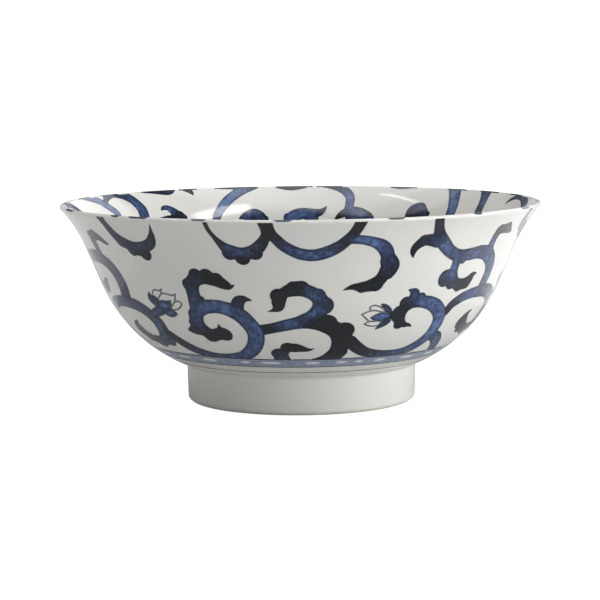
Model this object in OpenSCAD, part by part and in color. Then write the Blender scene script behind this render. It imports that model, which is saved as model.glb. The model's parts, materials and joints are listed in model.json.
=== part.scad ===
// Porcelain serving bowl with a round belly, a flared lip and a turned foot ring.
// The fired body carries thin layers of cobalt pigment, and clear glaze over them.
// Every piece is a ring or a dish about the Z axis. The origin is on the standing face.
//
// The outside of the bowl is one curve of tangent stretches, from the axis to the lip:
// a flat floor, the round belly, a straight wall and the flare. A place on it is given by
// s, the distance along the curve from the axis, and by d, the height above the curve.

/* [Bowl] */
// Outside diameter across the lip
rim_d = 210; // [195:1:220]
// Height from the standing face to the top of the lip
bowl_h = 87; // [82:0.5:95]
// Thickness of the rounded lip
lip_t = 2.0; // [1.8:0.1:3]
// Thickness of the floor of the well
floor_t = 5.5; // [4.5:0.1:7]

/* [Wall curve] */
// Lean from upright of the outside where the flare meets the lip
flare_lean = 42; // [38:0.5:46]
// Radius of the flare under the lip
flare_r = 60; // [54:1:66]
// Lean from upright of the straight wall between the belly and the flare
wall_lean = 22.5; // [20:0.5:25]
// Length of the straight wall
wall_l = 17; // [12:0.5:20]
// Radius of the round belly
belly_r = 66; // [62:0.5:68]

/* [Foot ring] */
// Outside diameter of the foot where it leaves the belly
foot_d = 101; // [97:0.5:105]
// Width of the foot ring, outside to inside
foot_w = 7; // [5:0.5:9]
// How much smaller the radius of the foot is at its lower edge
foot_taper = 0.4; // [0:0.1:1]
// Radius of the rounding on the lower outside edge of the foot
foot_round = 2.4; // [1:0.1:3]
// Radius of the fillet between the foot and the belly, outside
junction_fillet = 1.2; // [0.8:0.1:2]
// Radius of the fillet between the foot and the base, inside
base_fillet = 3; // [2:0.1:4]

/* [Layers] */
// Thickness of the clear glaze
glaze_t = 0.3; // [0.2:0.05:0.5]
// Thickness of the cobalt pigment under the glaze
pigment_t = 0.1; // [0.05:0.05:0.15]

/* [Painted rings] */
// Distance along the outside from the axis to the thin line above the foot
foot_line_s = 59; // [57:0.1:60]
// Distance along the outside from the axis to the lower edge of the waist band
band_s = 65.1; // [63:0.1:67]
// Width of the waist band with both of its edge lines
band_w = 6.7; // [4:0.1:9]
// Width of each thin painted line
line_w = 0.5; // [0.3:0.1:0.8]
// Distance along the inside from the axis to the lower edge of the inner scroll zone
inner_scroll_s = 86; // [80:1:95]
// Radius of the larger painted ring in the well
well_ring_r = 40; // [36:0.5:44]
// Width of the gap between the two rings in the well
well_ring_gap = 1.6; // [1:0.1:3]
// Radius of the painted flower in the middle of the well
well_flower_r = 17; // [12:0.5:24]

/* [Hidden] */

$fn = 96;
DEG = 180 / PI;
lip_r = lip_t / 2;
rim_r = rim_d / 2;
foot_r = foot_d / 2;
foot_in_r = foot_r - foot_w;
path_step = 2.5;     // spacing of the points along a curve
arc_step = 12;       // degrees between the points of a small rounding
glaze_end = 40;      // degrees round the foot's lower edge where the glaze was wiped off
inner_round = 1.5;   // rounding on the lower inside edge of the foot

// Unit vectors in the (radius, height) plane for a wall that leans out by a from upright
function outward(a) = [cos(a), -sin(a)];
function upward(a) = [sin(a), cos(a)];

// Centres and joints of the stretches, worked out from the lip down
lip_c = [rim_r - lip_r, bowl_h - lip_r];
flare_c = lip_c + (lip_r + flare_r) * outward(flare_lean);
wall_top = flare_c - flare_r * outward(wall_lean);
wall_base = wall_top - wall_l * upward(wall_lean);
belly_c = wall_base - belly_r * outward(wall_lean);

// Distances along the curve at which one stretch ends and the next begins
s_belly = belly_c[0];
s_wall = s_belly + belly_r * (90 - wall_lean) / DEG;
s_flare = s_wall + wall_l;
s_lip = s_flare + flare_r * (flare_lean - wall_lean) / DEG;

// The point at distance s along the outside, d above it
function outside(s, d) =
    s < s_belly ? [s, belly_c[1] - belly_r - d] :
    s < s_wall ? belly_c + (belly_r + d) * outward(90 - (s - s_belly) / belly_r * DEG) :
    s < s_flare ? wall_base + (s - s_wall) * upward(wall_lean) + d * outward(wall_lean) :
    flare_c - (flare_r - d) * outward(wall_lean + (s - s_flare) / flare_r * DEG);

// Thickness of the wall with its glaze: even over the floor, then thinning to the lip
function rise(s) = max(0, (s - s_belly) / (s_lip - s_belly));
function wall_t(s) = lip_t + (floor_t - lip_t) * pow(1 - rise(s), 1.5);

// The point on the inside that faces distance s, d above it
function inside(s, d) = outside(s, -wall_t(s) - d);

function reversed(list) = [for (i = [len(list) - 1 : -1 : 0]) list[i]];

// Points of an arc about c; angles are in the (radius, height) plane
function arc(c, r, a, b) =
    let (n = max(2, ceil(abs(b - a) / arc_step)))
    [for (i = [0 : n]) c + r * [cos(a + (b - a) * i / n), sin(a + (b - a) * i / n)]];

// A fillet circle of radius f under the belly, its centre at radius x
function fillet_c(x, f) = [x, belly_c[1] - sqrt(pow(belly_r + f, 2) - pow(x - belly_c[0], 2))];
function fillet_turn(c) = atan2(belly_c[1] - c[1], belly_c[0] - c[0]);
function fillet_s(c) = s_belly + (fillet_turn(c) - 90) / DEG * belly_r;

joint_c = fillet_c(foot_r + junction_fillet, junction_fillet);
base_c = fillet_c(foot_in_r - base_fillet, base_fillet);
s_joint = fillet_s(joint_c);
s_base = fillet_s(base_c);
edge_c = [foot_r - foot_taper - foot_round, foot_round];
inner_edge_c = [foot_in_r + inner_round, inner_round];

// Outside of the foot from the belly down to the glaze's end, d above the glazed surface
function foot_side(d) = concat(
    arc(joint_c, junction_fillet - d, fillet_turn(joint_c), 180),
    arc(edge_c + [0, d], foot_round + d, 0, -glaze_end)
);
// Inside of the foot from the base down to the glaze's end
function foot_hollow(d) = concat(
    arc(base_c, base_fillet - d, fillet_turn(base_c), 0),
    arc(inner_edge_c + [0, d], inner_round + d, 180, 180 + glaze_end)
);

// The painted zones, each [start, end]
foot_line_zone = [foot_line_s, foot_line_s + line_w];
band_bottom_zone = [band_s, band_s + line_w];
band_zone = [band_s + line_w, band_s + band_w - line_w];
band_top_zone = [band_s + band_w - line_w, band_s + band_w];
outer_scroll_zone = [band_s + band_w, s_lip - 0.2];
inner_scroll_zone = [inner_scroll_s, s_lip - 0.2];
well_ring_outer_zone = [well_ring_r, well_ring_r + line_w];
well_ring_inner_zone = [well_ring_r - well_ring_gap - line_w, well_ring_r - well_ring_gap];
well_flower_zone = [0, well_flower_r];

outer_sector = 360 / 3;
inner_sector = 360 / 2;
body_d = -glaze_t;                // the body's own surface
pit_d = -glaze_t - pigment_t;     // the bottom of a painted zone

// Places along the curve that every piece shares, so that neighbours meet face to face
function stations(breaks) = [
    for (i = [0 : len(breaks) - 2])
        let (n = ceil((breaks[i + 1] - breaks[i]) / path_step))
        for (k = [(i == 0 ? 0 : 1) : n]) breaks[i] + (breaks[i + 1] - breaks[i]) * k / n
];
outer_stations = stations(concat(
    [0, s_base, s_joint], foot_line_zone, band_bottom_zone, band_top_zone, [outer_scroll_zone[1], s_lip]
));
inner_stations = stations(concat(
    [0, well_flower_r], well_ring_inner_zone, well_ring_outer_zone, inner_scroll_zone, [s_lip]
));
function between(list, a, b) = [for (s = list) if (s > a - 0.001 && s < b + 0.001) s];
function along_outside(a, b, d) = [for (s = between(outer_stations, a, b)) outside(s, d)];
function along_inside(a, b, d) = [for (s = between(inner_stations, a, b)) inside(s, d)];

// The outline with repeated points dropped
function cleaned(outline) = [
    for (i = [0 : len(outline) - 1])
        let (before = outline[i == 0 ? len(outline) - 1 : i - 1])
        if (norm(outline[i] - before) > 0.001) outline[i]
];

// A ring, or a sector of one, with this cross-section
module revolve(outline, sector = 360) {
    rotate_extrude(angle = sector) polygon(cleaned(outline));
}

// A layer of pigment in its seat, on the outside or the inside
module outer_layer(zone, sector = 360) {
    revolve(concat(
        along_outside(zone[0], zone[1], body_d),
        reversed(along_outside(zone[0], zone[1], pit_d))
    ), sector);
}
module inner_layer(zone, sector = 360) {
    revolve(concat(
        along_inside(zone[0], zone[1], body_d),
        reversed(along_inside(zone[0], zone[1], pit_d))
    ), sector);
}

// The fired porcelain from the well to the lip, with a shallow seat for each painted zone
module bowl_wall() color("gainsboro") revolve(concat(
    along_outside(0, foot_line_zone[0], body_d),
    along_outside(foot_line_zone[0], foot_line_zone[1], pit_d),
    along_outside(foot_line_zone[1], band_bottom_zone[0], body_d),
    along_outside(band_bottom_zone[0], outer_scroll_zone[1], pit_d),
    along_outside(outer_scroll_zone[1], s_lip, body_d),
    arc(lip_c, lip_r + body_d, -flare_lean, 90),
    arc(lip_c, lip_r + body_d, 90, 180 - flare_lean),
    reversed(concat(
        along_inside(0, well_flower_zone[1], pit_d),
        along_inside(well_flower_zone[1], well_ring_inner_zone[0], body_d),
        along_inside(well_ring_inner_zone[0], well_ring_inner_zone[1], pit_d),
        along_inside(well_ring_inner_zone[1], well_ring_outer_zone[0], body_d),
        along_inside(well_ring_outer_zone[0], well_ring_outer_zone[1], pit_d),
        along_inside(well_ring_outer_zone[1], inner_scroll_zone[0], body_d),
        along_inside(inner_scroll_zone[0], inner_scroll_zone[1], pit_d),
        along_inside(inner_scroll_zone[1], s_lip, body_d)
    ))
));

// The turned foot under the belly, with a bare standing face
module foot_ring() color("ghostwhite") revolve(concat(
    along_outside(s_base, s_joint, body_d),
    foot_side(body_d),
    arc(edge_c + [0, body_d], foot_round + body_d, -glaze_end, -90),
    arc(inner_edge_c + [0, body_d], inner_round + body_d, 270, 180 + glaze_end),
    reversed(foot_hollow(body_d))
));

// Clear glaze on the outside wall, over the paint and up to the crown of the lip
module outer_glaze() color("white") revolve(concat(
    along_outside(s_joint, s_lip, 0),
    arc(lip_c, lip_r, -flare_lean, 90),
    arc(lip_c, lip_r + body_d, 90, -flare_lean),
    reversed(along_outside(s_joint, s_lip, body_d))
));

// Clear glaze on the inside, from the crown of the lip down over the well
module inner_glaze() color("white") revolve(concat(
    along_inside(0, s_lip, 0),
    arc(lip_c, lip_r, 180 - flare_lean, 90),
    arc(lip_c, lip_r + body_d, 90, 180 - flare_lean),
    reversed(along_inside(0, s_lip, body_d))
));

// Clear glaze on the outside of the foot, wiped off above the standing face
module foot_glaze() color("white") revolve(concat(foot_side(0), reversed(foot_side(body_d))));

// Clear glaze in the hollow under the bowl
module base_glaze() color("white") revolve(concat(
    along_outside(0, s_base, 0),
    foot_hollow(0),
    reversed(foot_hollow(body_d)),
    reversed(along_outside(0, s_base, body_d))
));

// The scroll pattern was laid on in printed sheets: three round the outside, two round the inside.
// Each is one sector, and turn is where the middle of its sector lies, from +X towards +Y.
module outer_scroll(turn) color("midnightblue")
    rotate([0, 0, turn - outer_sector / 2]) outer_layer(outer_scroll_zone, outer_sector);
module inner_scroll(turn) color("midnightblue")
    rotate([0, 0, turn - inner_sector / 2]) inner_layer(inner_scroll_zone, inner_sector);
module outer_scroll_front() outer_scroll(-105);
module outer_scroll_right() outer_scroll(15);
module outer_scroll_back() outer_scroll(135);
module inner_scroll_back() inner_scroll(90);
module inner_scroll_front() inner_scroll(-90);

// The brushed rings and the flower in the well
module waist_band() color("steelblue") outer_layer(band_zone);
module band_top_line() color("darkslateblue") outer_layer(band_top_zone);
module band_bottom_line() color("darkslateblue") outer_layer(band_bottom_zone);
module foot_line() color("darkslateblue") outer_layer(foot_line_zone);
module well_ring_outer() color("steelblue") inner_layer(well_ring_outer_zone);
module well_ring_inner() color("steelblue") inner_layer(well_ring_inner_zone);
module well_flower() color("midnightblue") inner_layer(well_flower_zone);

bowl_wall();
foot_ring();
outer_glaze();
inner_glaze();
foot_glaze();
base_glaze();
outer_scroll_front();
outer_scroll_right();
outer_scroll_back();
waist_band();
band_top_line();
band_bottom_line();
foot_line();
inner_scroll_back();
inner_scroll_front();
well_ring_outer();
well_ring_inner();
well_flower();
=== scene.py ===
import json
import math

import bpy
import numpy as np
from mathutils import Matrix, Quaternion, Vector

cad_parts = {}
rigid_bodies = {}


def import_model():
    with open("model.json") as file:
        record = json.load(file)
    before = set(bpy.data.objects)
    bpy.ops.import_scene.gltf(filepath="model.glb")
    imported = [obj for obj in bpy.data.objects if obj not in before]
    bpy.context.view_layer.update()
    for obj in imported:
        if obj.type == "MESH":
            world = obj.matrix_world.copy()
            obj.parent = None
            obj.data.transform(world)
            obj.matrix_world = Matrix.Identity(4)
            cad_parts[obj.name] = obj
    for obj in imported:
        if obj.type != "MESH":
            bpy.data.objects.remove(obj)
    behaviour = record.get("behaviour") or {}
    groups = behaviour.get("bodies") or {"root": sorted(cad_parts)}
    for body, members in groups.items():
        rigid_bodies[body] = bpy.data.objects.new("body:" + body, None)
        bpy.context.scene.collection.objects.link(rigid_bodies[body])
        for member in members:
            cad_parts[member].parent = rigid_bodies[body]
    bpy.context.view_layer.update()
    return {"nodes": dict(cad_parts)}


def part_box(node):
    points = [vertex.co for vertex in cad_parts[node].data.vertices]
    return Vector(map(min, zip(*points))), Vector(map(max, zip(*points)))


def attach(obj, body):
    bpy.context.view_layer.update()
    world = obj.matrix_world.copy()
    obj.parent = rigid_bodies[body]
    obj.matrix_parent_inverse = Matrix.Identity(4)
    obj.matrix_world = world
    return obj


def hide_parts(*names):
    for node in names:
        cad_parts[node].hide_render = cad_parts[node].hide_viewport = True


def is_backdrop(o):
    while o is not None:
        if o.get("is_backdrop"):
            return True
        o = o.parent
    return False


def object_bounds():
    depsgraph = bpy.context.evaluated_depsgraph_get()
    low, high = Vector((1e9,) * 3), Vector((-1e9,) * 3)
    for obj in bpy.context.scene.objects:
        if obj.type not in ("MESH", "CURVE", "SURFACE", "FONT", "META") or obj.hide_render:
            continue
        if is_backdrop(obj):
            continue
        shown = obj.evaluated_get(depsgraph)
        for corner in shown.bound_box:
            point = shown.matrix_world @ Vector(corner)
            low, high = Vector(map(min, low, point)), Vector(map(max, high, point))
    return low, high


# A porcelain serving bowl, painted in cobalt under its glaze. Lengths here are in millimetres, and MM
# turns them into the frame's metres. A place on the wall is (azimuth, s): azimuth in degrees from the
# front (-Y) towards +X, and s the distance along the outside curve from the axis. A place on the inside
# has the s of the place behind it. d is a height above the glazed surface.

for leftover in list(bpy.data.objects):
    bpy.data.objects.remove(leftover)
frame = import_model()
MM = 0.001

# ---------------------------------------------------------------- the wall's curve, as in the CAD
rim_r = round(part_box("outer_glaze")[1].x / MM, 1)
bowl_h = round(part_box("outer_glaze")[1].z / MM, 1)
lip_r = 1.0
floor_t = 5.5
flare_lean = math.radians(42)
flare_r = 60
wall_lean = math.radians(22.5)
wall_l = 17
belly_r = 66
foot_r = 50.5
foot_in_r = 43.5
foot_taper = 0.4
foot_round = 2.4
junction_fillet = 1.2
base_fillet = 3
inner_round = 1.5
thinning = 1.5
glaze_t = 0.3
glaze_end = math.radians(40)

# A point of a section is a complex number, radius + height * 1j.


def outward(lean):
    return np.exp(-1j * lean)


def upward(lean):
    return 1j * np.exp(-1j * lean)


lip_c = complex(rim_r - lip_r, bowl_h - lip_r)
flare_c = lip_c + (lip_r + flare_r) * outward(flare_lean)
wall_top = flare_c - flare_r * outward(wall_lean)
wall_base = wall_top - wall_l * upward(wall_lean)
belly_c = wall_base - belly_r * outward(wall_lean)
s_belly = belly_c.real
s_wall = s_belly + belly_r * (math.pi / 2 - wall_lean)
s_flare = s_wall + wall_l
s_lip = s_flare + flare_r * (flare_lean - wall_lean)


def outside(s, d=0.0):
    """The section's point at s on the outside, d above the glaze. Past s_lip it goes on over the lip."""
    s = np.asarray(s, float)
    stretches = [s < s_belly, s < s_wall, s < s_flare, s < s_lip]
    return np.select(
        stretches,
        [
            s + 1j * (belly_c.imag - belly_r - d),
            belly_c + (belly_r + d) * outward(math.pi / 2 - (s - s_belly) / belly_r),
            wall_base + (s - s_wall) * upward(wall_lean) + d * outward(wall_lean),
            flare_c - (flare_r - d) * outward(wall_lean + (s - s_flare) / flare_r),
        ],
        lip_c + (lip_r + d) * outward(flare_lean - (s - s_lip) / lip_r),
    )


def inside(s, d=0.0):
    """The same on the inside. Past s_lip it goes on over the crown of the lip."""
    s = np.asarray(s, float)
    rise = np.clip((s - s_belly) / (s_lip - s_belly), 0, 1)
    thickness = 2 * lip_r + (floor_t - 2 * lip_r) * (1 - rise) ** thinning
    wall = outside(np.minimum(s, s_lip), -thickness - d)
    crown = lip_c + (lip_r + d) * np.exp(1j * (math.pi - flare_lean - (s - s_lip) / lip_r))
    return np.where(s > s_lip, crown, wall)


def around(azimuth, section):
    """Points in space from azimuths and a section's points."""
    turn = np.radians(azimuth)
    return np.stack([section.real * np.sin(turn), -section.real * np.cos(turn), section.imag], -1)


# ---------------------------------------------------------------- materials


def linear(r, g, b):
    """A colour from its screen values, 0 to 255."""
    return tuple(((c / 255 + 0.055) / 1.055) ** 2.4 if c > 10 else c / 3295 for c in (r, g, b)) + (1,)


class Finish:
    """A material that is built node by node."""

    def __init__(self, name):
        self.material = bpy.data.materials.new(name)
        self.material.use_nodes = True
        self.tree = self.material.node_tree
        self.tree.nodes.clear()

    def node(self, kind, inputs, **settings):
        made = self.tree.nodes.new("ShaderNode" + kind)
        for key, value in settings.items():
            setattr(made, key, value)
        for key, value in inputs.items():
            if isinstance(value, bpy.types.NodeSocket):
                self.tree.links.new(value, made.inputs[key])
            else:
                made.inputs[key].default_value = value
        return made

    def ramp(self, value, low, high, start=0.0, end=1.0):
        """start at low, end at high, and a smooth step between."""
        inputs = {"Value": value, "From Min": low, "From Max": high, "To Min": start, "To Max": end}
        return self.node("MapRange", inputs, interpolation_type="SMOOTHSTEP").outputs[0]

    def sums(self, operation, a, b):
        return self.node("Math", {0: a, 1: b}, operation=operation).outputs[0]

    def mix(self, share, a, b):
        return self.node("Mix", {0: share, 6: a, 7: b}, data_type="RGBA").outputs[2]

    def field(self, name):
        return self.node("Attribute", {}, attribute_name=name).outputs["Fac"]

    def noise(self, scale, detail=2.0, stretch=(1, 1, 1), coordinates=None):
        """Noise of this many features a millimetre, stretched along the axes."""
        if coordinates is None:
            coordinates = self.node("TexCoord", {}).outputs["Object"]
            scale = scale / MM
        spread = self.node("Mapping", {"Vector": coordinates, "Scale": stretch}).outputs[0]
        inputs = {"Vector": spread, "Scale": scale, "Detail": detail}
        return self.node("TexNoise", inputs).outputs[0]

    def colours(self, value, stops):
        made = self.node("ValToRGB", {"Fac": value})
        elements = made.color_ramp.elements
        while len(elements) < len(stops):
            elements.new(0.5)
        for element, (position, colour) in zip(elements, stops):
            element.position = position
            element.color = colour
        return made.outputs[0]

    def shaded(self, colour, roughness, height, strength, **constants):
        """Joins colour, roughness and relief into the shader."""
        inputs = {"Height": height, "Strength": strength, "Distance": RELIEF * MM}
        relief = self.node("Bump", inputs)
        inputs = {"Base Color": colour, "Roughness": roughness, "Normal": relief.outputs[0]}
        shader = self.node("BsdfPrincipled", {**inputs, **constants})
        self.node("OutputMaterial", {"Surface": shader.outputs[0]})
        return self.material

    def under_glaze(self, colour):
        """The colour under clear glaze: nearly even gloss over a faint orange peel."""
        roughness = self.ramp(self.noise(0.05, 2), 0.2, 0.8, 0.06, 0.12)
        return self.shaded(colour, roughness, self.noise(0.22, 1), PEEL, **GLOSS)

    def porcelain(self):
        """The white of glazed porcelain: a faint cloudiness and a rare grey speck."""
        cloud = self.ramp(self.noise(0.02, 3), 0.3, 0.7)
        body = self.mix(cloud, PORCELAIN_WARM, PORCELAIN_COOL)
        speck = self.ramp(self.noise(0.45, 0), 0.905, 0.925, 0, 0.5)
        return self.mix(speck, body, SPECK)


PORCELAIN_WARM = linear(223, 221, 216)
PORCELAIN_COOL = linear(219, 220, 216)
SPECK = linear(150, 145, 135)
RELIEF = 0.1        # how high the grain of a surface stands
PEEL = 0.12         # how much of the glaze's orange peel shows
GLOSS = {"IOR": 1.45, "Coat Weight": 0.1, "Coat Roughness": 0.03}


def clear_glaze():
    finish = Finish("clear_glaze")
    return finish.under_glaze(finish.porcelain())


def bare_porcelain():
    """The unglazed foot: matt and gritty."""
    finish = Finish("bare_porcelain")
    grit = finish.noise(2.2, 4)
    colour = finish.colours(grit, [(0.3, linear(198, 188, 168)), (0.7, linear(222, 216, 202))])
    return finish.shaded(colour, finish.ramp(grit, 0.2, 0.8, 0.55, 0.8), grit, 0.5, IOR=1.45)


def cobalt(name, stops, ink, wash_edge, streaks):
    """Cobalt paint under glaze. The fields on the film say how deep a place lies in the wash, how far it
    is from a drawn contour, and how much pigment it holds."""
    finish = Finish(name)
    place = finish.node("Attribute", {}, attribute_name="place").outputs["Vector"]
    streak = finish.noise(1.5, 3, streaks, place)
    mottle = finish.noise(0.45, 4, (1, 1, 1), place)
    grain = finish.noise(2.6, 2, (1, 0.8, 1), place)
    depth = finish.field("depth")
    line = finish.field("line")
    pool = finish.ramp(line, 0.0, 1.6, 0.2, 0.0)
    tone = finish.sums("ADD", finish.field("tone"), pool)
    for texture, amount in ((streak, 0.5), (mottle, 0.9), (grain, 0.35)):
        swing = finish.sums("MULTIPLY", finish.sums("SUBTRACT", texture, 0.5), amount)
        tone = finish.sums("ADD", tone, swing)
    wash = finish.colours(tone, stops)
    halo = finish.ramp(depth, -0.36, 0.0, 0.0, 0.6)
    ground = finish.mix(halo, finish.porcelain(), HALO)
    wobble = finish.sums("MULTIPLY", finish.sums("SUBTRACT", mottle, 0.5), 0.2)
    colour = finish.mix(finish.ramp(finish.sums("ADD", depth, wobble), *wash_edge), ground, wash)
    nib = finish.sums("ADD", line, wobble)
    border = finish.ramp(nib, -0.12, 0.04, 0.0, 0.85)
    drawn = finish.sums("MULTIPLY", border, finish.ramp(nib, 0.2, 0.5, 1.0, 0.0))
    return finish.under_glaze(finish.mix(drawn, colour, ink))


HALO = linear(150, 164, 196)
DEEP = linear(11, 14, 21)
DARK = linear(24, 33, 54)
MIDDLE = linear(47, 65, 103)
LIGHT = linear(84, 111, 158)
SCROLL_STOPS = [(0.0, LIGHT), (0.3, MIDDLE), (0.62, DARK), (0.92, DEEP)]
BAND_STOPS = [(0.0, linear(176, 185, 202)), (0.5, linear(138, 150, 174)), (1.0, linear(98, 112, 144))]
LINE_STOPS = [(0.0, linear(84, 96, 126)), (1.0, linear(20, 26, 44))]
INK = linear(18, 24, 40)

GLAZE = clear_glaze()
BARE = bare_porcelain()
SCROLL = cobalt("cobalt_scroll", SCROLL_STOPS, INK, (-0.1, 0.12), (1, 0.25, 1))
BAND = cobalt("cobalt_wash", BAND_STOPS, INK, (-0.35, 0.45), (0.25, 1, 1))
LINE = cobalt("cobalt_line", LINE_STOPS, INK, (-1, 0), (0.3, 1, 1))

# ---------------------------------------------------------------- pieces

SHARP = math.radians(35)
SEGMENTS = 360
TOUCHING = 1e-4        # points nearer than this are one


def linked(name, points, faces, material):
    """A new mesh object in the scene. Its points are in metres."""
    mesh = bpy.data.meshes.new(name)
    mesh.from_pydata(points.tolist(), [], faces)
    mesh.materials.append(material)
    made = bpy.data.objects.new(name, mesh)
    bpy.context.scene.collection.objects.link(made)
    return made


def piece(name, points, faces, material, nodes, fields=None):
    """A piece of the bowl, standing for these CAD nodes."""
    made = linked(name, points * MM, faces, material)
    mesh = made.data
    mesh.shade_smooth()
    mesh.set_sharp_from_angle(angle=SHARP)
    for key, values in (fields or {}).items():
        vector = values.ndim == 2
        field = mesh.attributes.new(key, "FLOAT_VECTOR" if vector else "FLOAT", "POINT")
        field.data.foreach_set("vector" if vector else "value", values.astype(np.float32).ravel())
    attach(made, "root")
    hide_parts(*nodes)


def turned(name, outline, material, nodes, fields=None):
    """A piece turned about the axis from an anticlockwise outline. Its ends may lie on the axis."""
    outline = np.asarray(outline)
    outline = outline[np.abs(outline - np.roll(outline, 1)) > TOUCHING]
    rings, points, count = [], [], 0
    for section in outline:
        azimuth = np.zeros(1) if section.real < TOUCHING else np.arange(SEGMENTS) * 360 / SEGMENTS
        points.append(around(azimuth, np.full(len(azimuth), section)))
        rings.append([count + i % len(azimuth) for i in range(SEGMENTS + 1)])
        count += len(azimuth)
    faces = []
    for low, high in zip(rings, rings[1:] + rings[:1]):
        for i in range(SEGMENTS):
            face = list(dict.fromkeys([low[i], low[i + 1], high[i + 1], high[i]]))
            if len(face) > 2:
                faces.append(face)
    points = np.vstack(points)
    piece(name, points, faces, material, nodes, fields and fields(points))


def run(low, high, spacing):
    """Even places from low to high, both included."""
    return np.linspace(low, high, max(2, math.ceil((high - low) / spacing) + 1))


def arc(centre, radius, start, end, step=math.radians(7)):
    """Points of an arc from one angle to another."""
    count = max(2, math.ceil(abs(end - start) / step) + 1)
    return centre + radius * np.exp(1j * np.linspace(start, end, count))


def fillet_c(x, radius):
    """The centre at radius x of a fillet under the belly."""
    return complex(x, belly_c.imag - math.sqrt((belly_r + radius) ** 2 - (x - belly_c.real) ** 2))


def fillet_turn(centre):
    return math.atan2(belly_c.imag - centre.imag, belly_c.real - centre.real)


def fillet_s(centre):
    return s_belly + (fillet_turn(centre) - math.pi / 2) * belly_r


joint_c = fillet_c(foot_r + junction_fillet, junction_fillet)
base_c = fillet_c(foot_in_r - base_fillet, base_fillet)
s_joint = fillet_s(joint_c)
s_base = fillet_s(base_c)
edge_c = complex(foot_r - foot_taper - foot_round, foot_round)
inner_edge_c = complex(foot_in_r + inner_round, inner_round)
quarter = math.pi / 2


def foot_side(d):
    """The outside of the foot, down to the end of its glaze."""
    fillet = arc(joint_c, junction_fillet - d, fillet_turn(joint_c), math.pi)
    edge = arc(edge_c + 1j * d, foot_round + d, 0, -glaze_end)
    return np.concatenate([fillet, edge])


def foot_hollow(d):
    """The inside of the foot, down to the end of its glaze."""
    fillet = arc(base_c, base_fillet - d, fillet_turn(base_c), 0)
    edge = arc(inner_edge_c + 1j * d, inner_round + d, math.pi, math.pi + glaze_end)
    return np.concatenate([fillet, edge])


def lip(radius, start, end):
    return arc(lip_c, radius, start, end, math.radians(9))


FINE, COARSE = 1.5, 5        # between the rings of a coat's face and of its hidden back


def build_glazes():
    """The four coats of clear glaze, and the foot's own porcelain."""
    under = -glaze_t
    fine, coarse = run(s_joint, s_lip, FINE), run(s_joint, s_lip, COARSE)
    coats = {"outer_glaze": [
        outside(fine),
        lip(lip_r, -flare_lean, quarter),
        lip(lip_r + under, quarter, -flare_lean),
        outside(coarse, under)[::-1],
    ]}
    fine, coarse = run(0, s_lip, FINE), run(0, s_lip, COARSE)
    coats["inner_glaze"] = [
        inside(coarse, under),
        lip(lip_r + under, math.pi - flare_lean, quarter),
        lip(lip_r, quarter, math.pi - flare_lean),
        inside(fine)[::-1],
    ]
    coats["foot_glaze"] = [foot_side(0)[::-1], foot_side(under)]
    fine = run(0, s_base, FINE)
    coats["base_glaze"] = [
        outside(fine),
        foot_hollow(0),
        foot_hollow(under)[::-1],
        outside(fine, under)[::-1],
    ]
    for node, parts in coats.items():
        turned(node + "_coat", np.concatenate(parts), GLAZE, [node])
    ring = [
        outside(run(s_base, s_joint, 2), under)[::-1],
        foot_hollow(under),
        arc(inner_edge_c + 1j * under, inner_round + under, math.pi + glaze_end, 3 * quarter),
        arc(edge_c + 1j * under, foot_round + under, -quarter, -glaze_end),
        foot_side(under)[::-1],
    ]
    turned("foot_body", np.concatenate(ring), BARE, ["foot_ring"])


build_glazes()
frame["nodes"]["bowl_wall"].data.materials.clear()
frame["nodes"]["bowl_wall"].data.materials.append(BARE)

# ---------------------------------------------------------------- painting

FAR = 50.0
EDGE = 0.36        # how far a film reaches past the paint
LIFT = 0.03        # how far a film stands proud of the glaze
SINK = 0.06        # how far it reaches into it
BLEND = 0.8        # over which tones of neighbouring strokes run together
NIB = -0.06        # how much thicker a pen line is than the ink along a stroke's edge
MARGIN = 2         # how far beyond a shape's edge the paint is worked out
THINNEST = 0.05    # the least half width of a stroke
BULGE = 0.5        # more than a petal's curve swells past its points
FAINTEST = 1e-200  # keeps the tone defined far from every stroke
TINY = 1e-9
NUDGE = 1e-3       # keeps a film's edge from passing through a corner of the grid
DEGREE_MM = 1.4    # about how much of the wall a degree spans, for the paint's texture


def smooth(points, steps=4):
    """A curve through the points, this many steps between each pair."""
    points = np.array(points, float)
    padded = np.vstack([points[:1], points, points[-1:]])
    made = []
    for before, start, end, after in zip(padded, padded[1:], padded[2:], padded[3:]):
        for t in np.arange(steps) / steps:
            cubic = 3 * start - before - 3 * end + after
            square = 2 * before - 5 * start + 4 * end - after
            made.append(start + 0.5 * ((end - before) * t + square * t**2 + cubic * t**3))
    made.append(points[-1])
    made = np.array(made)
    if made.shape[1] == 4:
        made[:, 2] = np.maximum(made[:, 2], THINNEST)
        made[:, 3] = np.clip(made[:, 3], 0, 1)
    return made


def beside(u, v, start, end, scale):
    """The offset of (u, v) from a link's start, the link itself, and how far along the link (from 0 to 1)
    and how far off the link's nearest point is. scale is how many millimetres one unit of u spans."""
    x, y = (u - start[0]) * scale, v - start[1]
    dx, dy = (end[0] - start[0]) * scale, end[1] - start[1]
    along = np.clip((x * dx + y * dy) / (dx * dx + dy * dy + TINY), 0, 1)
    return x, y, dx, dy, along, np.hypot(x - along * dx, y - along * dy)


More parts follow.
